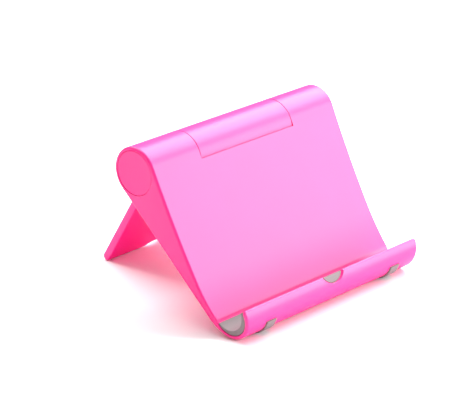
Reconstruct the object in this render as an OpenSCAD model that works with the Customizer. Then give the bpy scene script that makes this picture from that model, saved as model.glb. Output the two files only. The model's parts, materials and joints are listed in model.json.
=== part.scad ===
// Folding stand for a phone or a tablet.
// A wedge-shaped panel leans back and ends in a half-round channel that holds the device.
// A flat leg turns on a friction hinge inside the barrel along the panel's top edge.
// X runs across the stand, -Y is the front, Z is up. The origin is on the ground, under the middle.

/* [Panel] */
// Width at the top of the barrel
panel_w = 99.2; // [90:0.1:120]
// Taper of each side towards the channel, in degrees
side_taper = 1; // [0:0.1:1.5]
// Lean of the panel back from vertical, in degrees
lean = 25.6; // [20:0.1:30]
// Angle between the panel's front and back faces at the barrel, in degrees
wedge = 21; // [20:0.5:22]
// Radius of the barrel
barrel_r = 9.7; // [9.5:0.1:10]
// Radius of the shallow hollow in the panel's front face
face_r = 450; // [400:10:600]
// Distance down the panel at which the front face starts to curve into the channel
toe_start = 42; // [40:0.5:43]
// Radius of the curve above the channel
toe_r = 76; // [74:1:80]
// Thickness of the front plate
plate_t = 2.1; // [1.8:0.1:2.3]
// Thickness of the outer side walls
side_t = 2.6; // [2.2:0.1:3]
// Thickness of the webs beside the leg's recess
web_t = 2; // [1.5:0.1:3]

/* [Channel] */
// Distance of the channel's centre below the hinge, along the panel
channel_drop = 58.1; // [57.9:0.1:58.5]
// Distance of the channel's centre in front of the hinge
channel_out = 21.6; // [21.4:0.1:21.8]
// Inside radius of the channel
channel_r = 6.8; // [6.6:0.1:6.9]
// Thickness of the channel's wall and lip
channel_t = 1.35; // [1.2:0.05:1.5]
// Height of the lip's top above the channel's centre
lip_rise = 1.2; // [1:0.1:1.4]
// Width of the notch in the middle of the lip, inside its chamfer
notch_w = 10.4; // [9:0.1:14]
// Depth of the notch
notch_d = 3.4; // [3:0.1:4]
// Radius of the hollow that the device rests in
liner_r = 6.2; // [6:0.1:6.3]

/* [Leg] */
// Width of the leg and of its knuckle
leg_w = 49.5; // [40:0.5:56]
// Length of the leg from the hinge to its foot
leg_l = 64.8; // [63:0.1:66]
// Thickness of the leg's plate
leg_t = 3.1; // [3:0.1:3.6]
// Bore of the leg's knuckle
leg_bore_r = 7; // [6:0.1:7.5]
// Width of the arch in the middle of the foot
arch_w = 13.2; // [8:0.1:20]
// Height of that arch
arch_h = 2.6; // [1:0.1:3]

/* [Hinge] */
// Side gap between the leg's knuckle and each of the panel's knuckles
knuckle_gap = 0.25; // [0.2:0.05:0.5]
// Gap between the round knuckle and the panel's top edge
slit_gap = 0.4; // [0.3:0.05:0.5]
// Radius of the hinge bolt
bolt_r = 2; // [1.5:0.1:2.5]
// Radial clearance of the bolt in its bores
bolt_play = 0.05; // [0.03:0.01:0.1]
// Bore of the panel's knuckles, which the end caps close
tube_bore_r = 8.4; // [8.2:0.1:8.6]
// Thickness of the wall that the bolt passes through in each of the panel's knuckles
bearing_t = 3; // [2:0.5:4]

/* [Feet] */
// Width of each rubber foot under the channel
foot_w = 5; // [5:0.5:10]
// Distance of each foot from the middle
foot_x = 34.5; // [30:0.5:38]
// How far the feet stand out from the channel
foot_proud = 0.6; // [0.6:0.1:1]
// How much of that is worn flat where the foot stands
foot_flat = 0.25; // [0.2:0.05:0.5]

/* [Hidden] */

$fn = 96;
over = 1;                // how far a cut runs past the face it opens
pink = "#ff9ad8";
deep_pink = "#f25fae";
grey = "#b9aab0";
steel = "silver";
nylon = "#e9e4da";

// Sketch plane: x is the stand's Y, y is its Z, and the hinge is at [0, 0].

// Points along an arc, both ends included
function arc(c, r, a0, a1, n) =
    [for (i = [0:n]) let (a = a0 + (a1 - a0) * i / n) c + r * [cos(a), sin(a)]];

// All but the first point of a list, where it repeats the last point of the one before
function tail(list) = [for (i = [1:len(list) - 1]) list[i]];

// A point given by its distance along the back face and its distance out from the hinge
function back(s, w) = s * [-sin(wedge), -cos(wedge)] + w * [cos(wedge), -sin(wedge)];
// The same two distances of a point of the sketch
function along_back(p) = -p[0] * sin(wedge) - p[1] * cos(wedge);
function out_of_back(p) = p[0] * cos(wedge) - p[1] * sin(wedge);

// Half the panel's width at a distance d below the hinge: a straight taper, then a large corner radius
half_w = panel_w / 2;
corner_d = 42;
corner_r = 215;
function side_x(d) = half_w - (d + barrel_r) * tan(side_taper)
    - (d > corner_d ? pow(d - corner_d, 2) / (2 * corner_r) : 0);

channel_c = [-channel_out, -channel_drop];
channel_or = channel_r + channel_t;
channel_s = along_back(channel_c);
channel_out_w = out_of_back(channel_c) + channel_or;

// Front face: a shallow arc from the barrel, then a tighter one down to the channel
face_c = [-barrel_r - face_r, 0];
face_a = asin(toe_start / face_r);
toe_c = face_c + (face_r - toe_r) * [cos(face_a), -sin(face_a)];
toe_a = 17.4;

// Channel and lip
channel_a0 = 3;
lip_r = channel_t / 2;
lip_mid_r = channel_r + lip_r;
lip_a = -180 - asin((lip_rise - lip_r) / lip_mid_r);
lip_c = channel_c + lip_mid_r * [cos(lip_a), sin(lip_a)];

// Notch: a circle that passes through its two corners and its lowest point
notch_r = (pow(notch_w / 2, 2) + pow(notch_d, 2)) / (2 * notch_d);
notch_z = -channel_drop + lip_rise - notch_d + notch_r;
notch_depth = 4;
notch_bevel = 0.7;

// Curve that joins the back face to the underside of the channel
heel_r = 20;
heel_w = barrel_r - heel_r;
heel_reach = sqrt(pow(heel_r - channel_or, 2) - pow(channel_out_w - channel_or - heel_w, 2));
heel_c = back(channel_s - heel_reach, heel_w);
heel_dir = channel_c - heel_c;
heel_a = atan2(heel_dir[1], heel_dir[0]);

// Hinge place: the feet's flats and the leg's foot both touch the ground
channel_z = channel_or + foot_proud - foot_flat;
hinge_z = channel_z + channel_drop * cos(lean) - channel_out * sin(lean);
front_reach = channel_drop * sin(lean) + channel_out * cos(lean) + channel_or;
tip_r = leg_t / 2;
leg_mid = barrel_r - tip_r;
leg_straight = leg_l - tip_r;
leg_swing = acos((hinge_z - tip_r) / norm([leg_straight, leg_mid])) - atan2(leg_mid, leg_straight);
rear_reach = leg_straight * sin(leg_swing) + leg_mid * cos(leg_swing) + tip_r;
hinge_y = (front_reach - rear_reach) / 2;

// Places along the barrel
knuckle_x = leg_w / 2 + knuckle_gap;
bearing_x = knuckle_x + bearing_t;
pod_x0 = knuckle_x + web_t;
pod_x1 = half_w - side_t;
bore_r = bolt_r + bolt_play;

// Pods: the closed hollows beside the leg's recess
pod_top_s = 6;
pod_a0 = 0.9;
pod_end_a = 6.7;
pod_end = toe_c + (toe_r + plate_t) * [cos(pod_end_a), -sin(pod_end_a)];
pod_end_s = along_back(pod_end);
pod_depth = 20;          // more than the pods are deep
recess_a0 = 0.4;
recess_end_a = 10.5;
recess_foot = 1;         // how far the recess stops short of the channel's centre, along the back
recess_past = 12;        // how far its opening runs on below that
recess_room = 5;         // how far the recess cutter stands out of the back face
cover_t = 1.6;
cover_play = 0.1;
cover_w = barrel_r - cover_t;
rib_t = 1.4;
rib_s = [22, 36];
tab_s = [15, 29];
tab = [1.2, 5, 3.5];      // thickness, width and reach of a cover's tab
tab_root = 0.8;          // how far the tab runs into the cover

// Hinge hardware
hub_l = 6;
hub_play = 0.05;
hub_inset = 0.25;
washer_t = hub_inset + knuckle_gap;
washer_r = leg_bore_r - 0.2;
hub_x = leg_w / 2 - hub_inset;
flat_washer_t = 0.8;
flat_washer_r = 4.6;
spring_t = 0.4;
spring_rise = 0.35;
washer_play = 0.15;
head_r = 3.8;
head_t = 2.6;
socket_af = 2.5;
socket_d = 1.5;
nut_af = 7;
nut_t = 5;
bolt_spare = 1.2;
spring_x = bearing_x + flat_washer_t;
nut_x = spring_x + 2 * (spring_t + spring_rise);

// End caps
cap_face = 0.2;
cap_t = 1.4;
cap_play = 0.05;
skirt_l = 3.5;
skirt_t = 1.1;
cap_x = side_x(barrel_r) - cap_face;

// Liner: its hollow is set up and back from the channel's centre
liner_inset = 0.25;
liner_fit = 0.1;
liner_or = channel_r - liner_fit;
liner_a = [-8, -188];
liner_shift = 1.5;
liner_dir = 68.4;
liner_c = channel_c + liner_shift * [cos(liner_dir), sin(liner_dir)];
hollow_a = [-174.4, -21.6];
key_play = 0.15;
key_root = 0.3;
key_proud = 0.9;
key_a = -135;

// Feet: they wrap round the lower front of the channel
foot_a = [-138, -48];
foot_seat = 0.5;
foot_or = channel_or + foot_proud;
foot_ir = channel_or - foot_seat;
foot_play = 0.1;

// Stands children drawn in the panel's own frame on the ground, leaning back
module at_panel() {
    translate([0, hinge_y, hinge_z]) rotate([-lean, 0, 0]) children();
}

// Stands children drawn in the leg's own frame, hanging from the hinge
module at_leg() {
    translate([0, hinge_y, hinge_z]) rotate([leg_swing, 0, 0]) children();
}

// Places children along the hinge's axis at x, their own Z along +X
module on_axis(x) {
    translate([x, hinge_y, hinge_z]) rotate([0, 90, 0]) children();
}

// Extrudes a sketch along X from x0 to x1
module across(x0, x1) {
    translate([x0, 0, 0]) rotate([90, 0, 90]) linear_extrude(x1 - x0) children();
}

// Keeps what lies between the panel's two tapered sides, each moved in by inset
module between_sides(inset) {
    reach = 60;
    step = 5;
    steps = concat(-barrel_r - over, [for (d = [corner_d:step:channel_drop + channel_or + step]) d]);
    intersection() {
        children();
        translate([0, reach, 0]) rotate([90, 0, 0]) linear_extrude(2 * reach) polygon(concat(
            [for (d = steps) [side_x(d) - inset, -d]],
            [for (i = [len(steps) - 1:-1:0]) [inset - side_x(steps[i]), -steps[i]]]));
    }
}

module mirrored(side) {
    if (side < 0) mirror([1, 0, 0]) children();
    else children();
}

// A ring about Z
module ring(r_out, r_in, h) {
    difference() {
        cylinder(r = r_out, h = h);
        translate([0, 0, -over]) cylinder(r = r_in, h = h + 2 * over);
    }
}

// Whole side outline of the panel, anticlockwise from the front of the barrel
module panel_outline() {
    polygon(concat(
        tail(arc(face_c, face_r, 0, -face_a, 10)),
        tail(arc(toe_c, toe_r, -face_a, -toe_a, 8)),
        arc(channel_c, channel_r, channel_a0, lip_a, 40),
        tail(arc(lip_c, lip_r, lip_a + 180, lip_a + 360, 12)),
        tail(arc(channel_c, channel_or, lip_a, heel_a, 40)),
        tail(arc(heel_c, heel_r, heel_a, -wedge, 8)),
        arc([0, 0], barrel_r, -wedge, 180, 58)));
}

// Hollow behind the front plate, cut back to the barrel's wall
module pod_outline() {
    difference() {
        polygon(concat(
            arc(face_c, face_r + plate_t, -pod_a0, -face_a, 6),
            tail(arc(toe_c, toe_r + plate_t, -face_a, -pod_end_a, 2)),
            [back(pod_end_s, barrel_r + over), back(pod_top_s, barrel_r + over),
            back(pod_top_s, cover_w - cover_play)]));
        circle(r = barrel_r);
    }
}

// Space for the leg's knuckle, and behind the front plate for the folded leg
module recess_outline() {
    foot_s = channel_s - recess_foot;
    end_s = channel_s + recess_past;
    circle(r = barrel_r + slit_gap);
    polygon(concat(
        arc(face_c, face_r + plate_t, -recess_a0, -face_a, 6),
        tail(arc(toe_c, toe_r + plate_t, -face_a, -recess_end_a, 5)),
        [back(foot_s, channel_out_w), back(end_s, channel_out_w),
        back(end_s, barrel_r + recess_room), back(-bolt_r, barrel_r + recess_room)]));
}

module foot_outline(r0, r1, spread) {
    polygon(concat(
        arc(channel_c, r0, foot_a[1] + spread, foot_a[0] - spread, 24),
        arc(channel_c, r1, foot_a[0] - spread, foot_a[1] + spread, 24)));
}

// Cuts the round notch in the middle of the lip, and chamfers its outer edge
module notch() {
    translate([0, -channel_out - channel_or, notch_z]) rotate([90, 0, 0]) {
        translate([0, 0, -notch_depth]) cylinder(r = notch_r, h = notch_depth + over);
        translate([0, 0, -notch_bevel])
            cylinder(r1 = notch_r, r2 = notch_r + 2 * notch_bevel, h = 2 * notch_bevel);
    }
}

module pod(side) {
    mirrored(side) difference() {
        across(pod_x0, pod_x1) pod_outline();
        for (s = rib_s) across(pod_x0 - over, pod_x1 + over)
            polygon([back(s, cover_w), back(s, -pod_depth),
                back(s + rib_t, -pod_depth), back(s + rib_t, cover_w)]);
    }
}

module front_panel() {
    color(pink) difference() {
        at_panel() between_sides(0) across(-half_w, half_w) panel_outline();
        at_panel() {
            across(-knuckle_x, knuckle_x) recess_outline();
            for (side = [-1, 1]) {
                pod(side);
                mirrored(side) across(foot_x - foot_w / 2 - foot_play, foot_x + foot_w / 2 + foot_play)
                    foot_outline(foot_ir, foot_or + over, foot_play);
            }
            notch();
        }
        on_axis(-half_w) cylinder(r = bore_r, h = panel_w);
        on_axis(-half_w - over) cylinder(r = tube_bore_r, h = half_w - bearing_x + over);
        on_axis(bearing_x) cylinder(r = tube_bore_r, h = half_w - bearing_x + over);
    }
}

// Flat cover of one pod, held by tabs that clip inside the pod's walls
module back_cover(side) {
    x0 = pod_x0 + cover_play;
    x1 = pod_x1 - cover_play;
    s0 = pod_top_s + cover_play;
    s1 = pod_end_s - cover_play;
    color(deep_pink) at_panel() mirrored(side) {
        across(x0, x1)
            polygon([back(s0, cover_w), back(s1, cover_w), back(s1, barrel_r), back(s0, barrel_r)]);
        for (s = tab_s, x = [x0, x1 - tab[0]]) across(x, x + tab[0])
            polygon([back(s, cover_w + tab_root), back(s, cover_w - tab[2]),
                back(s + tab[1], cover_w - tab[2]), back(s + tab[1], cover_w + tab_root)]);
    }
}

// Side outline of the leg: the round knuckle, the plate that leaves it at the rear, and the rounded foot
module leg_outline() {
    fillet_r = 2;
    fillet_in = 5;       // how far the knuckle's arc runs on past the fillet, in degrees
    inner = barrel_r - leg_t;
    fillet_c = [inner - fillet_r, -sqrt(pow(barrel_r + fillet_r, 2) - pow(inner - fillet_r, 2))];
    fillet_a = atan2(fillet_c[1], fillet_c[0]);
    polygon(concat(
        arc([leg_mid, -leg_straight], tip_r, 0, -180, 14),
        arc(fillet_c, fillet_r, 0, 180 + fillet_a, 6),
        arc([0, 0], barrel_r, fillet_a - fillet_in, -360, 58)));
}

module kickstand_leg() {
    arch_r = (pow(arch_w / 2, 2) + pow(arch_h, 2)) / (2 * arch_h);
    color(deep_pink) difference() {
        at_leg() across(-leg_w / 2, leg_w / 2) leg_outline();
        on_axis(-leg_w / 2 - over) cylinder(r = leg_bore_r, h = leg_w + 2 * over);
        at_leg() translate([0, barrel_r + over, -leg_l + arch_h - arch_r]) rotate([90, 0, 0])
            cylinder(r = arch_r, h = leg_t + 2 * over);
    }
}

// Nylon plug that closes one end of the leg's knuckle and turns on the bolt
module leg_hub(x) {
    color(nylon) on_axis(x) ring(leg_bore_r - hub_play, bore_r, hub_l);
}

module friction_washer(x) {
    color(grey) on_axis(x) ring(washer_r, bore_r, washer_t);
}

module hinge_bolt() {
    start = bearing_x + flat_washer_t;
    color(steel) difference() {
        union() {
            on_axis(-start) cylinder(r = bolt_r, h = start + nut_x + nut_t + bolt_spare);
            on_axis(-start - head_t) cylinder(r = head_r, h = head_t);
        }
        on_axis(-start - head_t - over) cylinder(d = socket_af / cos(30), h = socket_d + over, $fn = 6);
    }
}

module flat_washers() {
    color(steel) for (x = [-bearing_x - flat_washer_t, bearing_x])
        on_axis(x) ring(flat_washer_r, bolt_r + washer_play, flat_washer_t);
}

// Two dished washers, rim to rim, that keep the hinge tight
module disc_springs() {
    r0 = bolt_r + washer_play;
    r1 = flat_washer_r - 0.2;
    meet = spring_rise + spring_t;
    color(steel) on_axis(spring_x + meet) for (flip = [0, 1]) mirror([0, 0, flip])
        rotate_extrude() polygon([[r0, spring_rise], [r1, 0], [r1, spring_t], [r0, meet]]);
}

module lock_nut() {
    color(steel) on_axis(nut_x) difference() {
        cylinder(d = nut_af / cos(30), h = nut_t, $fn = 6);
        translate([0, 0, -over]) cylinder(r = bolt_r, h = nut_t + 2 * over);
    }
}

// Disc that closes one end of the barrel, with a skirt that presses into the bore
module end_cap(side) {
    cap_r = tube_bore_r - cap_play;
    color(deep_pink) at_panel() between_sides(cap_face) mirrored(side) rotate([0, 90, 0]) {
        translate([0, 0, cap_x - cap_t]) cylinder(r = cap_r, h = cap_t + over);
        translate([0, 0, cap_x - cap_t - skirt_l]) ring(cap_r, cap_r - skirt_t, skirt_l);
    }
}

// Silicone lining of the channel, thickest at the lower front, with a key that fills the lip's notch
module channel_liner() {
    key_r = notch_r - key_play;
    color(grey) at_panel() {
        between_sides(liner_inset) across(-half_w, half_w) polygon(concat(
            arc(channel_c, liner_or, liner_a[0], liner_a[1], 40),
            arc(liner_c, liner_r, hollow_a[0], hollow_a[1], 36)));
        intersection() {
            across(-notch_w, notch_w) polygon(concat(
                arc(channel_c, liner_or - key_root, liner_a[1], key_a, 12),
                arc(channel_c, liner_or + key_proud, key_a, liner_a[1] + 1, 12)));
            translate([0, -channel_out, notch_z]) rotate([90, 0, 0]) cylinder(r = key_r, h = 2 * channel_or);
        }
    }
}

module front_foot(side) {
    color(grey) difference() {
        at_panel() mirrored(side) across(foot_x - foot_w / 2, foot_x + foot_w / 2)
            foot_outline(foot_ir, foot_or, 0);
        translate([-half_w, -half_w, -channel_r]) cube([panel_w, panel_w, channel_r]);
    }
}

front_panel();
back_cover(-1);  // back_cover_left
back_cover(1);  // back_cover_right
kickstand_leg();
leg_hub(-hub_x);  // leg_hub_left
leg_hub(hub_x - hub_l);  // leg_hub_right
friction_washer(-knuckle_x);  // friction_washer_left
friction_washer(knuckle_x - washer_t);  // friction_washer_right
hinge_bolt();
flat_washers();
disc_springs();
lock_nut();
end_cap(-1);  // end_cap_left
end_cap(1);  // end_cap_right
channel_liner();
front_foot(-1);  // front_foot_left
front_foot(1);  // front_foot_right
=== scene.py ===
"""Folding stand for a phone or a tablet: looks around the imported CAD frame.

Metres, Z up, the front of the stand faces -Y. The pink plastic and grey silicone parts are rebuilt from
their side outlines with rounded edges, and stand for their CAD nodes. The hubs and the rest of the hinge
hardware keep their CAD meshes. Ribs and tabs inside the hollows aren't repeated, as they can't be seen.
"""

import json
import math

import bmesh
import bpy
from mathutils import Matrix, Vector


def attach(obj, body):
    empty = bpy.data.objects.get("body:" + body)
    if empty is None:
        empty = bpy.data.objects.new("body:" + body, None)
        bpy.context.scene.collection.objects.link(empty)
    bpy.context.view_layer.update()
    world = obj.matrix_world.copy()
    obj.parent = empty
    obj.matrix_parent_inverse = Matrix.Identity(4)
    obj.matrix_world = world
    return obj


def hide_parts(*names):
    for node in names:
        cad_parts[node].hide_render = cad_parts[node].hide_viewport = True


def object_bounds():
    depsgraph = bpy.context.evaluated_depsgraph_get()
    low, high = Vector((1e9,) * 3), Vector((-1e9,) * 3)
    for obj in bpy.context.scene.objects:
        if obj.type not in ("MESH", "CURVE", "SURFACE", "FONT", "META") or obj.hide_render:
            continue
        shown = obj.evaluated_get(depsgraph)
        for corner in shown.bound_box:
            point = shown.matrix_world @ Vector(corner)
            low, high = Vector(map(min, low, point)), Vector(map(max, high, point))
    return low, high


MM = 0.001

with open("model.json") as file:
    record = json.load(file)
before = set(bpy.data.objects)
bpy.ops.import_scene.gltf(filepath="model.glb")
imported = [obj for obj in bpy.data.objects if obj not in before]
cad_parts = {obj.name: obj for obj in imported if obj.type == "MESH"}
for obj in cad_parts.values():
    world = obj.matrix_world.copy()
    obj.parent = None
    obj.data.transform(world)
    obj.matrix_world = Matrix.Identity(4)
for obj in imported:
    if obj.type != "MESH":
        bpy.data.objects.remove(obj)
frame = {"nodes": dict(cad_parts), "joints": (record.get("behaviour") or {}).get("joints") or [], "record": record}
CAD_LOW, CAD_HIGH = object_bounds()
HINGE = Vector(frame["joints"][0]["pos_m"])

# ---------------------------------------------------------------- sizes, in millimetres and degrees
LEAN = 25.6
WEDGE = 21.0
SIDE_TAPER = 1.0
CORNER_D = 42.0
CORNER_R = 215.0
BARREL_R = 9.7
FACE_R = 450.0
TOE_START = 42.0
TOE_R = 76.0
TOE_A = 17.4
PLATE_T = 2.1
SIDE_T = 2.6
WEB_T = 2.0
CHANNEL_DROP = 58.1
CHANNEL_OUT = 21.6
CHANNEL_R = 6.8
CHANNEL_T = 1.35
CHANNEL_A0 = 3.0
LIP_RISE = 1.2
NOTCH_W = 10.4
NOTCH_D = 3.4
NOTCH_DEPTH = 4.0
NOTCH_BEVEL = 0.7
HEEL_R = 20.0
POD_TOP_S = 6.0
POD_END_A = 6.7
POD_CLEAR = 0.02
RECESS_A0 = 1.0
RECESS_END_A = 10.5
RECESS_TOP_S = 4.0
RECESS_FOOT = 1.0
RECESS_PAST = 12.0
RECESS_ROOM = 5.0
COVER_T = 1.6
COVER_PLAY = 0.1
LEG_W = 49.5
LEG_L = 64.8
LEG_T = 3.1
LEG_BORE_R = 7.0
LEG_FILLET_R = 2.0
ARCH_W = 13.2
ARCH_H = 2.6
KNUCKLE_GAP = 0.25
SLIT_GAP = 0.4
BOLT_BORE_R = 2.05
TUBE_BORE_R = 8.4
BEARING_T = 3.0
CAP_FACE = 0.2
CAP_T = 1.4
CAP_PLAY = 0.05
SKIRT_L = 3.5
SKIRT_T = 1.1
LINER_INSET = 0.25
LINER_OR = 6.7
LINER_R = 6.2
LINER_A = (-8.0, -188.0)
LINER_SHIFT = 1.5
LINER_DIR = 68.4
HOLLOW_A = (-174.4, -21.6)
KEY_PLAY = 0.15
KEY_ROOT = 0.3
KEY_PROUD = 0.9
KEY_A = -135.0
KEY_SHORT_A = 1.0
FOOT_W = 5.0
FOOT_X = 34.5
FOOT_PROUD = 0.6
FOOT_SEAT = 0.5
FOOT_PLAY = 0.1
FOOT_A = (-138.0, -48.0)
FOOT_STEPS = 48
GROUND_CLEAR = 0.01
OVER = 1.0

# Left out where two runs of an outline meet, so that their points don't crowd
CHANNEL_JOIN_A = 1.0
LIP_JOIN_A = 10.0
HEEL_JOIN_A = 2.0
BARREL_JOIN_A = 1.0
TOE_JOIN_A = 0.8
KNUCKLE_JOIN_A = 3.0
FILLET_JOIN = 2.0

# Rounded edges of the visual pieces
EDGE_R = 1.0
LIP_CORNER_R = 1.3
LEG_EDGE_R = 0.35
SMALL_EDGE_R = 0.3
COVER_EDGE_R = 0.25
BORE_CHAMFER = 0.2
KNUCKLE_FADE = (1.0, 2.5, 4.0)    # drops below the hinge over which the rear face's rounding grows
QUARTER_MID = 0.3                 # how far in the middle of a quarter round lies, in radii
MIN_STRETCH = 0.6                 # keeps a sharp corner from moving too far
SMOOTH_A = 32.0                   # edges sharper than this stay sharp
MERGE = 0.002


# ---------------------------------------------------------------- outlines
# A sketch point is (y, z) in millimetres from the hinge, in the panel's or the leg's own frame.

def polar(c, r, a):
    return (c[0] + r * math.cos(math.radians(a)), c[1] + r * math.sin(math.radians(a)))


def arc(c, r, a0, a1, n):
    return [polar(c, r, a0 + (a1 - a0) * i / n) for i in range(n + 1)]


def circle(c, r, n):
    """Points round a full circle, the first one not repeated."""
    return arc(c, r, 0, 360 * (n - 1) / n, n - 1)


def back(s, w):
    """A point by its distance down the back face and its distance out from the hinge."""
    sn, cs = math.sin(math.radians(WEDGE)), math.cos(math.radians(WEDGE))
    return (-s * sn + w * cs, -s * cs - w * sn)


def along_back(p):
    return -p[0] * math.sin(math.radians(WEDGE)) - p[1] * math.cos(math.radians(WEDGE))


def out_of_back(p):
    return p[0] * math.cos(math.radians(WEDGE)) - p[1] * math.sin(math.radians(WEDGE))


HALF_W = (CAD_HIGH.x - CAD_LOW.x) / 2 / MM


def side_x(p):
    """Half the panel's width at a sketch point: a straight taper, then a large corner radius."""
    drop = -p[1]
    x = HALF_W - (drop + BARREL_R) * math.tan(math.radians(SIDE_TAPER))
    if drop > CORNER_D:
        x -= (drop - CORNER_D) ** 2 / (2 * CORNER_R)
    return x


MOUTH_X = side_x((0, 0))
CHANNEL_C = (-CHANNEL_OUT, -CHANNEL_DROP)
CHANNEL_OR = CHANNEL_R + CHANNEL_T
CHANNEL_S = along_back(CHANNEL_C)
CHANNEL_W = out_of_back(CHANNEL_C)
FACE_C = (-BARREL_R - FACE_R, 0.0)
FACE_A = math.degrees(math.asin(TOE_START / FACE_R))
TOE_C = polar(FACE_C, FACE_R - TOE_R, -FACE_A)
LIP_R = CHANNEL_T / 2
LIP_MID_R = CHANNEL_R + LIP_R
LIP_A = -180 - math.degrees(math.asin((LIP_RISE - LIP_R) / LIP_MID_R))
HEEL_W = BARREL_R - HEEL_R
HEEL_REACH = math.sqrt((HEEL_R - CHANNEL_OR) ** 2 - (CHANNEL_W - HEEL_W) ** 2)
HEEL_C = back(CHANNEL_S - HEEL_REACH, HEEL_W)
HEEL_A = math.degrees(math.atan2(CHANNEL_C[1] - HEEL_C[1], CHANNEL_C[0] - HEEL_C[0]))
LINER_C = polar(CHANNEL_C, LINER_SHIFT, LINER_DIR)
NOTCH_R = ((NOTCH_W / 2) ** 2 + NOTCH_D ** 2) / (2 * NOTCH_D)
NOTCH_Z = -CHANNEL_DROP + LIP_RISE - NOTCH_D + NOTCH_R
KNUCKLE_X = LEG_W / 2 + KNUCKLE_GAP
BEARING_X = KNUCKLE_X + BEARING_T
POD_X = (KNUCKLE_X + WEB_T, HALF_W - SIDE_T)
POD_END = polar(TOE_C, TOE_R + PLATE_T, -POD_END_A)
POD_END_S = along_back(POD_END)


def weighted(parts):
    """Joins runs of (points, first weight, last weight) into one loop with a weight for each point."""
    points, weights = [], []
    for run, w0, w1 in parts:
        if points and math.dist(points[-1], run[0]) < 1e-4:
            run = run[1:]
        points += run
        weights += [w0 + (w1 - w0) * i / (len(run) - 1) for i in range(len(run))]
    if math.dist(points[0], points[-1]) < 1e-4:
        points, weights = points[:-1], weights[:-1]
    return points, weights


def panel_outline(lip_drop):
    """Outline of the panel with a rounding weight for each point; lip_drop shortens the lip, in mm."""
    lip_a = LIP_A + math.degrees(lip_drop / LIP_MID_R)
    lip_c = polar(CHANNEL_C, LIP_MID_R, lip_a)
    return weighted([
        (arc(FACE_C, FACE_R, 0, -FACE_A, 24), 1.0, 1.0),
        (arc(TOE_C, TOE_R, -FACE_A, -TOE_A, 16), 1.0, 0.5),
        (arc(CHANNEL_C, CHANNEL_R, CHANNEL_A0 - CHANNEL_JOIN_A, lip_a, 64), 0.45, 0.35),
        (arc(lip_c, LIP_R, lip_a + (180 + LIP_JOIN_A), lip_a + (360 - LIP_JOIN_A), 14), 0.35, 0.5),
        (arc(CHANNEL_C, CHANNEL_OR, lip_a, HEEL_A, 56), 0.6, 1.0),
        (arc(HEEL_C, HEEL_R, HEEL_A + HEEL_JOIN_A, -WEDGE, 12), 1.0, 1.0),
        (arc((0, 0), BARREL_R, -WEDGE + BARREL_JOIN_A, 180, 80), 1.0, 1.0),
    ])


def leg_outline():
    """Outline of the leg: the tip, the inner face, the fillet, the knuckle and the rear face."""
    inner = BARREL_R - LEG_T
    fillet_z = -math.sqrt((BARREL_R + LEG_FILLET_R) ** 2 - (inner - LEG_FILLET_R) ** 2)
    fillet_c = (inner - LEG_FILLET_R, fillet_z)
    fillet_a = math.degrees(math.atan2(fillet_z, inner - LEG_FILLET_R))
    tip = (BARREL_R - LEG_T / 2, -LEG_L + LEG_T / 2)
    return weighted([
        (arc(tip, LEG_T / 2, 0, -180, 20), 1.0, 1.0),
        ([(inner, -LEG_L / 2), (inner, fillet_z - FILLET_JOIN)], 1.0, 1.0),
        (arc(fillet_c, LEG_FILLET_R, 0, 180 + fillet_a, 10), 1.0, 0.3),
        (arc((0, 0), BARREL_R, fillet_a - KNUCKLE_JOIN_A, -360, 96), 0.3, 0.3),
        ([(BARREL_R, -drop) for drop in KNUCKLE_FADE], 0.4, 1.0),
    ])


def liner_outline():
    return weighted([
        (arc(CHANNEL_C, LINER_OR, LINER_A[0], LINER_A[1], 64), 1.0, 1.0),
        (arc(LINER_C, LINER_R, HOLLOW_A[0], HOLLOW_A[1], 56), 1.0, 1.0),
    ])


def cover_outline():
    s0, s1 = POD_TOP_S + COVER_PLAY, POD_END_S - COVER_PLAY
    w0, w1 = BARREL_R - COVER_T, BARREL_R
    r, mid = COVER_EDGE_R, QUARTER_MID * COVER_EDGE_R
    return weighted([
        ([back(s0, w0), back(s1, w0), back(s1, w1 - r), back(s1 - mid, w1 - mid)], 0.0, 1.0),
        ([back(s1 - r, w1), back(s0 + r, w1), back(s0 + mid, w1 - mid), back(s0, w1 - r)], 1.0, 1.0),
    ])


def ground_radius(c, r, a):
    """The radius r, or less where the panel stands on the ground in that direction."""
    height = HINGE.z / MM + c[0] * math.sin(math.radians(-LEAN)) + c[1] * math.cos(math.radians(LEAN))
    fall = -math.sin(math.radians(a - LEAN))
    return min(r, (height - GROUND_CLEAR) / fall) if fall > 0 else r


def foot_outline(r_in, r_out, spread, on_ground):
    a0, a1 = FOOT_A[1] + spread, FOOT_A[0] - spread
    outer = []
    for i in range(FOOT_STEPS + 1):
        a = a1 + (a0 - a1) * i / FOOT_STEPS
        outer.append(polar(CHANNEL_C, ground_radius(CHANNEL_C, r_out, a) if on_ground else r_out, a))
    return weighted([(arc(CHANNEL_C, r_in, a0, a1, FOOT_STEPS), 0.0, 0.0), (outer, 1.0, 1.0)])


def recess_outline():
    """Space for the leg's knuckle, and behind the front plate for the folded leg."""
    foot_s, end_s = CHANNEL_S - RECESS_FOOT, CHANNEL_S + RECESS_PAST
    reach, room = CHANNEL_W + CHANNEL_OR, BARREL_R + RECESS_ROOM
    return (
        arc(FACE_C, FACE_R + PLATE_T, -RECESS_A0, -FACE_A, 16)
        + arc(TOE_C, TOE_R + PLATE_T, -FACE_A - TOE_JOIN_A, -RECESS_END_A, 8)
        + [back(foot_s, reach), back(end_s, reach), back(end_s, room), back(RECESS_TOP_S, room), (0.0, 0.0)]
    )


def pod_outline():
    """The closed hollows beside the leg's recess."""
    start = math.degrees(math.asin((BARREL_R + POD_CLEAR) / (FACE_R + PLATE_T)))
    return (
        arc(FACE_C, FACE_R + PLATE_T, -start, -FACE_A, 12)
        + [POD_END, back(POD_END_S, BARREL_R + OVER), back(POD_TOP_S, BARREL_R + OVER)]
        + [back(POD_TOP_S, BARREL_R - COVER_T - COVER_PLAY)]
    )


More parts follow.
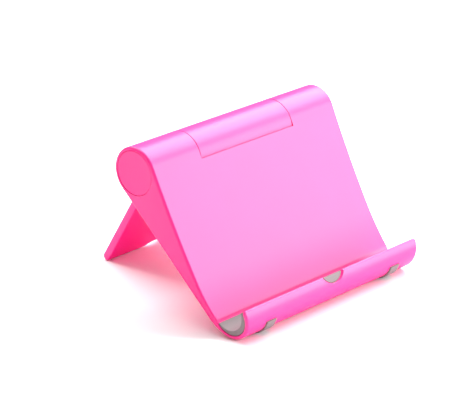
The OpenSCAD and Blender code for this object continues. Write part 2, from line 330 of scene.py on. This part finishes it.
def inward(points, offsets):
    """Moves each point of a loop into the shape by its own offset."""
    n = len(points)
    area = sum(points[i - 1][0] * points[i][1] - points[i][0] * points[i - 1][1] for i in range(n))
    turn = 1 if area > 0 else -1
    moved = []
    for i in range(n):
        (ax, ay), (bx, by), (cx, cy) = points[i - 1], points[i], points[(i + 1) % n]
        u = Vector((bx - ax, by - ay)).normalized()
        v = Vector((cx - bx, cy - by)).normalized()
        t = (u + v).normalized()
        stretch = max(MIN_STRETCH, math.sqrt(max(0.0, (1 + u.dot(v)) / 2)))
        step = offsets[i] * turn / stretch
        moved.append((bx - t.y * step, by + t.x * step))
    return moved


def rounding(depth, r):
    """How far a quarter-round edge of radius r has come in at this depth from the end face."""
    if depth >= r:
        return 0.0
    return r - math.sqrt(max(0.0, r * r - (r - depth) ** 2))


def to_world(tilt):
    """Places sketch points on the stand: x across, then (y, z) turned by tilt degrees about the hinge."""
    c, s = math.cos(math.radians(tilt)), math.sin(math.radians(tilt))

    def place(x, p):
        y, z = p[0] * MM, p[1] * MM
        return Vector((x * MM, HINGE.y + y * c - z * s, HINGE.z + y * s + z * c))

    return place


at_panel = to_world(-LEAN)
LEG_MID = BARREL_R - LEG_T / 2
LEG_STRAIGHT = LEG_L - LEG_T / 2
LEG_SWING = (
    math.degrees(math.acos((HINGE.z / MM - LEG_T / 2) / math.hypot(LEG_STRAIGHT, LEG_MID)))
    - math.degrees(math.atan2(LEG_MID, LEG_STRAIGHT))
)
at_leg = to_world(LEG_SWING)


# ---------------------------------------------------------------- mesh building

def new_object(name, mesh):
    obj = bpy.data.objects.new(name, mesh)
    bpy.context.scene.collection.objects.link(obj)
    return obj


def skin(name, rings):
    """Closed solid through rings of world points, all with the same count."""
    bm = bmesh.new()
    rows = [[bm.verts.new(p) for p in ring] for ring in rings]
    for lower, upper in zip(rows, rows[1:]):
        n = len(lower)
        for i in range(n):
            bm.faces.new((lower[i], lower[(i + 1) % n], upper[(i + 1) % n], upper[i]))
    bm.faces.new(list(reversed(rows[0])))
    bm.faces.new(rows[-1])
    bmesh.ops.recalc_face_normals(bm, faces=bm.faces[:])
    mesh = bpy.data.meshes.new(name)
    bm.to_mesh(mesh)
    bm.free()
    return new_object(name, mesh)


def prism(name, x0, x1, points, place):
    return skin(name, [[place(x, p) for p in points] for x in (x0, x1)])


def turned(name, profile, place=at_panel, tapered=False, n=96):
    """Solid turned about the hinge's axis from (x, r) pairs; its ends may follow the panel's taper."""
    rings = []
    for x, r in profile:
        points = circle((0, 0), r, n)
        side = math.copysign(1, x) if tapered else 0
        rings.append([place(x + side * (side_x(p) - MOUTH_X), p) for p in points])
    return skin(name, rings)


def drilled(name, place, centre_z, profile, n):
    """Solid turned about an axis along the sketch's y, at the height centre_z, from (y, r) pairs."""
    return skin(name, [[place(x, (y, z)) for x, z in circle((0, centre_z), r, n)] for y, r in profile])


def rounded(name, ends, outline, radius, place, depths):
    """Solid across the stand with quarter-round edges; ends(p) gives its two x at a sketch point."""
    rows = [[], []]
    for d in depths:
        points, weights = outline(d)
        moved = inward(points, [rounding(d, radius * w) if w else 0.0 for w in weights])
        rows[0].append([place(ends(p)[0] + d, p) for p in moved])
        rows[1].append([place(ends(p)[1] - d, p) for p in moved])
    return skin(name, rows[0] + rows[1][::-1])


def bake(obj):
    """Applies obj's modifiers to its mesh."""
    graph = bpy.context.evaluated_depsgraph_get()
    mesh = bpy.data.meshes.new_from_object(obj.evaluated_get(graph))
    obj.modifiers.clear()
    obj.data = mesh


def combine(obj, others, operation):
    """Cuts, joins or intersects obj with the others and drops them."""
    for other in others:
        mod = obj.modifiers.new("combine", "BOOLEAN")
        mod.operation, mod.solver, mod.object = operation, "EXACT", other
        bake(obj)
        bpy.data.objects.remove(other)


def smooth(obj):
    """Smooth faces, with edges sharper than SMOOTH_A kept sharp."""
    bm = bmesh.new()
    bm.from_mesh(obj.data)
    bmesh.ops.remove_doubles(bm, verts=bm.verts[:], dist=MERGE * MM)
    for f in bm.faces:
        f.smooth = True
    for e in bm.edges:
        e.smooth = len(e.link_faces) == 2 and e.calc_face_angle(0.0) < math.radians(SMOOTH_A)
    bm.to_mesh(obj.data)
    bm.free()


def finish_piece(obj, body, node, slot, look=None):
    smooth(obj)
    obj.data.materials.clear()
    obj.data.materials.append(LOOKS[look or slot])
    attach(obj, body)
    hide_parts(node)


# ---------------------------------------------------------------- materials

def mix_colour(nt, factor, low, high):
    mix = nt.nodes.new("ShaderNodeMix")
    mix.data_type = "RGBA"
    mix.inputs["A"].default_value = low
    mix.inputs["B"].default_value = high
    nt.links.new(factor, mix.inputs["Factor"])
    return mix.outputs["Result"]


def noise(nt, scale, detail=2.0, stretch=None):
    """Noise in the object's own space, in features per metre; stretch scales the three axes."""
    place = nt.nodes.new("ShaderNodeTexCoord").outputs["Object"]
    if stretch:
        mapping = nt.nodes.new("ShaderNodeMapping")
        mapping.inputs["Scale"].default_value = stretch
        nt.links.new(place, mapping.inputs["Vector"])
        place = mapping.outputs["Vector"]
    tex = nt.nodes.new("ShaderNodeTexNoise")
    tex.inputs["Scale"].default_value = scale
    tex.inputs["Detail"].default_value = detail
    nt.links.new(place, tex.inputs["Vector"])
    return tex.outputs["Fac"]


# Painted shade on the leg: from these depths below the hinge its pink turns deeper, standing in for the shade that
# falls on the leg under the panel.
PAINTED_SHADE_FROM, PAINTED_SHADE_TO = 0.5, 1.2    # in barrel radii below the hinge


def painted_shade_mask(nt):
    """Mask of the leg's painted shade: rises from 0 at the hinge's height to 1 where the leg's plate comes out of
    the barrel.
    """
    split = nt.nodes.new("ShaderNodeSeparateXYZ")
    nt.links.new(nt.nodes.new("ShaderNodeTexCoord").outputs["Object"], split.inputs["Vector"])
    ramp = nt.nodes.new("ShaderNodeMapRange")
    ramp.inputs["From Min"].default_value = HINGE.z - PAINTED_SHADE_FROM * BARREL_R * MM
    ramp.inputs["From Max"].default_value = HINGE.z - PAINTED_SHADE_TO * BARREL_R * MM
    nt.links.new(split.outputs["Z"], ramp.inputs["Value"])
    return ramp.outputs["Result"]


def surface(name, low, high, patch, grain, rough, bump, metallic=0.0, ior=1.5, stretch=None, painted_shade=None):
    """Material whose colour drifts in patches and whose roughness and relief follow a fine grain; a deeper colour,
    if given, is painted in below the hinge as shade.
    """
    mat = bpy.data.materials.new(name)
    mat.use_nodes = True
    nt = mat.node_tree
    shader = nt.nodes["Principled BSDF"]
    shader.inputs["Metallic"].default_value = metallic
    shader.inputs["IOR"].default_value = ior
    colour = mix_colour(nt, noise(nt, patch), low, high)
    # Painted shade: below the hinge the colour is mixed towards a deeper colour.
    if painted_shade:
        lower = mix_colour(nt, painted_shade_mask(nt), low, painted_shade)
        nt.links.new(colour, lower.node.inputs["A"])
        colour = lower
    nt.links.new(colour, shader.inputs["Base Color"])
    fine = noise(nt, grain, 3.0, stretch)
    spread = nt.nodes.new("ShaderNodeMapRange")
    spread.inputs["To Min"].default_value, spread.inputs["To Max"].default_value = rough
    nt.links.new(fine, spread.inputs["Value"])
    nt.links.new(spread.outputs["Result"], shader.inputs["Roughness"])
    relief = nt.nodes.new("ShaderNodeBump")
    relief.inputs["Strength"].default_value = bump
    relief.inputs["Distance"].default_value = 0.02 * MM
    nt.links.new(fine, relief.inputs["Height"])
    nt.links.new(relief.outputs["Normal"], shader.inputs["Normal"])
    return mat


PINKS = ((0.95, 0.018, 0.245, 1), (0.98, 0.023, 0.27, 1))
LOOKS = {
    "pink_plastic": surface("look_pink_plastic", *PINKS, 60, 2600, (0.38, 0.44), 0.2),
    # The leg's look paints shade in: below the barrel its pink turns deeper.
    "leg_pink_painted_shade": surface("look_leg_pink_painted_shade", *PINKS, 60, 2600, (0.38, 0.44), 0.2,
                        painted_shade=(0.99, 0.002, 0.27, 1)),
    "grey_silicone": surface("look_grey_silicone", (0.21, 0.17, 0.18, 1), (0.25, 0.20, 0.21, 1), 90, 1800,
                             (0.55, 0.68), 0.4, ior=1.42),
    "steel": surface("look_steel", (0.50, 0.50, 0.52, 1), (0.66, 0.66, 0.67, 1), 300, 1500,
                     (0.24, 0.40), 0.5, metallic=1.0, stretch=(1, 6, 6)),
    "nylon": surface("look_nylon", (0.78, 0.75, 0.68, 1), (0.84, 0.81, 0.75, 1), 120, 1600,
                     (0.45, 0.6), 0.3),
    "friction_fibre": surface("look_friction_fibre", (0.03, 0.026, 0.026, 1), (0.07, 0.06, 0.06, 1),
                              900, 2400, (0.7, 0.85), 0.8),
}
PINK, GREY = "pink_plastic", "grey_silicone"

for sub in frame["record"]["subparts"]:
    node = frame["nodes"][sub["node"]]
    node.data.materials.clear()
    node.data.materials.append(LOOKS[sub["material_slot"]])


# ---------------------------------------------------------------- front panel

# Depths of a rounded edge's rings, closer together near the end face
EDGE_DEPTHS = [0.0, 0.03, 0.1, 0.2, 0.34, 0.5, 0.7, 0.9, 1.1, LIP_CORNER_R]
SMALL_DEPTHS = [0.0, 0.03, 0.08, 0.15, 0.22, SMALL_EDGE_R]


def panel_ends(p):
    return -side_x(p), side_x(p)


def notch_cutter():
    face = -CHANNEL_OUT - CHANNEL_OR
    profile = [
        (face + NOTCH_DEPTH, NOTCH_R),
        (face + NOTCH_BEVEL, NOTCH_R),
        (face - NOTCH_BEVEL, NOTCH_R + 2 * NOTCH_BEVEL),
        (face - 2 * NOTCH_BEVEL, NOTCH_R + 2 * NOTCH_BEVEL),
    ]
    return drilled("notch", at_panel, NOTCH_Z, profile, 72)


def bore_cutter(side):
    profile = [
        (BEARING_X, TUBE_BORE_R),
        (MOUTH_X - 2 * BORE_CHAMFER, TUBE_BORE_R),
        (MOUTH_X - BORE_CHAMFER, TUBE_BORE_R),
        (MOUTH_X + 2 * BORE_CHAMFER, TUBE_BORE_R + 3 * BORE_CHAMFER),
    ]
    return turned("bore", [(side * x, r) for x, r in profile], n=100)


panel = rounded("panel_shell", panel_ends, lambda d: panel_outline(rounding(d, LIP_CORNER_R)), EDGE_R,
                at_panel, EDGE_DEPTHS)
cutters = [
    prism("knuckle_space", -KNUCKLE_X, KNUCKLE_X, recess_outline(), at_panel),
    turned("knuckle_round", [(-KNUCKLE_X, BARREL_R + SLIT_GAP), (KNUCKLE_X, BARREL_R + SLIT_GAP)], n=128),
    turned("bolt_bore", [(-HALF_W, BOLT_BORE_R), (HALF_W, BOLT_BORE_R)], n=48),
]
cutters += [bore_cutter(side) for side in (-1, 1)]
cutters += [prism("pod", side * POD_X[0], side * POD_X[1], pod_outline(), at_panel) for side in (-1, 1)]
seat = foot_outline(CHANNEL_OR - FOOT_SEAT, CHANNEL_OR + OVER, FOOT_PLAY, False)[0]
seat_x = (FOOT_X - FOOT_W / 2 - FOOT_PLAY, FOOT_X + FOOT_W / 2 + FOOT_PLAY)
cutters += [prism("seat", side * seat_x[0], side * seat_x[1], seat, at_panel) for side in (-1, 1)]
cutters.append(notch_cutter())
combine(panel, cutters, "DIFFERENCE")
finish_piece(panel, "stand", "front_panel", PINK)


# ---------------------------------------------------------------- leg

def leg_ends(p):
    return -LEG_W / 2, LEG_W / 2


leg = rounded("leg_shell", leg_ends, lambda d: leg_outline(), LEG_EDGE_R, at_leg,
              [0.0, 0.03, 0.08, 0.15, 0.24, LEG_EDGE_R])
arch_r = ((ARCH_W / 2) ** 2 + ARCH_H ** 2) / (2 * ARCH_H)
arch_z = -LEG_L + ARCH_H - arch_r
arch = drilled("arch", at_leg, arch_z, [(BARREL_R - LEG_T - OVER, arch_r), (BARREL_R + OVER, arch_r)], 120)
leg_bore = turned("leg_bore", [(-LEG_W / 2 - OVER, LEG_BORE_R), (LEG_W / 2 + OVER, LEG_BORE_R)], at_leg)
combine(leg, [leg_bore, arch], "DIFFERENCE")
# The leg's plate gets painted shade: a deeper pink below the barrel.
finish_piece(leg, "leg", "kickstand_leg", PINK, "leg_pink_painted_shade")


# ---------------------------------------------------------------- covers, caps and feet

for side, tag in ((-1, "left"), (1, "right")):
    x0, x1 = sorted((side * (POD_X[0] + COVER_PLAY), side * (POD_X[1] - COVER_PLAY)))
    cover = rounded("cover_" + tag, lambda p: (x0, x1), lambda d: cover_outline(), SMALL_EDGE_R, at_panel,
                    SMALL_DEPTHS)
    finish_piece(cover, "stand", "back_cover_" + tag, PINK)

    face, cap_r = MOUTH_X - CAP_FACE, TUBE_BORE_R - CAP_PLAY
    rim = [(face - SMALL_EDGE_R + SMALL_EDGE_R * math.sin(math.radians(a)),
            cap_r - SMALL_EDGE_R + SMALL_EDGE_R * math.cos(math.radians(a))) for a in range(0, 91, 15)]
    profile = [(face - CAP_T - SKIRT_L, cap_r - SKIRT_T), (face - CAP_T - SKIRT_L, cap_r)] + rim
    dish = ((0.05, cap_r - 1.2), (0.09, cap_r / 2), (0.1, 0.2))    # depth and radius of the hollow face
    profile += [(face - depth, r) for depth, r in dish]
    cap = turned("cap_" + tag, [(side * x, r) for x, r in profile], tapered=True)
    hollow = turned("hollow", [(side * (face - CAP_T - SKIRT_L - OVER), cap_r - SKIRT_T),
                               (side * (face - CAP_T), cap_r - SKIRT_T)])
    combine(cap, [hollow], "DIFFERENCE")
    finish_piece(cap, "stand", "end_cap_" + tag, PINK)

    x0, x1 = sorted((side * (FOOT_X - FOOT_W / 2), side * (FOOT_X + FOOT_W / 2)))
    foot = rounded("foot_" + tag, lambda p: (x0, x1),
                   lambda d: foot_outline(CHANNEL_OR - FOOT_SEAT, CHANNEL_OR + FOOT_PROUD, 0.0, True),
                   SMALL_EDGE_R, at_panel, SMALL_DEPTHS)
    finish_piece(foot, "stand", "front_foot_" + tag, GREY)


# ---------------------------------------------------------------- channel liner

def liner_ends(p):
    return LINER_INSET - side_x(p), side_x(p) - LINER_INSET


liner = rounded("liner_shell", liner_ends, lambda d: liner_outline(), SMALL_EDGE_R, at_panel, SMALL_DEPTHS)
key = prism("key", -NOTCH_W, NOTCH_W, (
    arc(CHANNEL_C, LINER_OR - KEY_ROOT, LINER_A[1], KEY_A, 48)
    + arc(CHANNEL_C, LINER_OR + KEY_PROUD, KEY_A, LINER_A[1] + KEY_SHORT_A, 48)
), at_panel)
plug_ys = (-CHANNEL_OUT, -CHANNEL_OUT - 2 * CHANNEL_OR)
plug = drilled("plug", at_panel, NOTCH_Z, [(y, NOTCH_R - KEY_PLAY) for y in plug_ys], 72)
combine(key, [plug], "INTERSECT")
combine(liner, [key], "UNION")
finish_piece(liner, "stand", "channel_liner", GREY)


# ---------------------------------------------------------------- floor, light, camera

FLOOR_HALF = 3.0
FLOOR_DROP = 0.0001
WORLD_STRENGTH = 0.55
SOFTBOX_DISTANCE = 1.2

bm = bmesh.new()
bmesh.ops.create_grid(bm, x_segments=8, y_segments=8, size=FLOOR_HALF)
mesh = bpy.data.meshes.new("floor")
bm.to_mesh(mesh)
bm.free()
floor = new_object("floor", mesh)
floor.location = (0, 0, -FLOOR_DROP)
floor.data.materials.append(
    surface("floor_paper", (0.92, 0.92, 0.92, 1), (0.94, 0.94, 0.94, 1), 4, 600, (0.8, 0.9), 0.1))

world = bpy.data.worlds.new("studio")
bpy.context.scene.world = world
world.use_nodes = True
world.node_tree.nodes["Background"].inputs["Color"].default_value = (1, 1, 1, 1)
world.node_tree.nodes["Background"].inputs["Strength"].default_value = WORLD_STRENGTH


def softbox(name, direction, width, height, power, target):
    light = bpy.data.lights.new(name, "AREA")
    light.shape, light.size, light.size_y, light.energy = "RECTANGLE", width, height, power
    obj = bpy.data.objects.new(name, light)
    bpy.context.scene.collection.objects.link(obj)
    obj.location = target + Vector(direction).normalized() * SOFTBOX_DISTANCE
    obj.rotation_euler = (target - obj.location).to_track_quat("-Z", "Y").to_euler()


middle = (CAD_LOW + CAD_HIGH) / 2
softbox("key", (0.69, -0.66, 0.2), 0.6, 0.75, 17.0, middle)
softbox("rim", (0.69, 0.0, 0.68), 1.1, 0.5, 22.0, middle)
softbox("back_top", (0.1, 0.5, 0.85), 0.8, 0.8, 15.0, middle)

CAMERA_FROM_HINGE = (-0.6078, -0.5524, 0.28784)
CAMERA_HEADING = 42.0375
CAMERA_PITCH = -21.0106
CAMERA_ROLL = 0.4761

camera_data = bpy.data.cameras.new("camera")
camera_data.sensor_width = 36.0
camera_data.lens = 180.67
camera_data.shift_x = -0.0024
camera_data.shift_y = 0.0032
camera = bpy.data.objects.new("camera", camera_data)
bpy.context.scene.collection.objects.link(camera)
heading, pitch = math.radians(CAMERA_HEADING), math.radians(CAMERA_PITCH)
aim = Vector((math.cos(pitch) * math.cos(heading), math.cos(pitch) * math.sin(heading), math.sin(pitch)))
level = aim.cross(Vector((0, 0, 1))).normalized()
right = Matrix.Rotation(math.radians(-CAMERA_ROLL), 3, aim) @ level
camera.matrix_world = Matrix((right, right.cross(aim), -aim)).transposed().to_4x4()
camera.location = HINGE + Vector(CAMERA_FROM_HINGE)
bpy.context.scene.camera = camera
bpy.context.scene.view_settings.view_transform = "Standard"
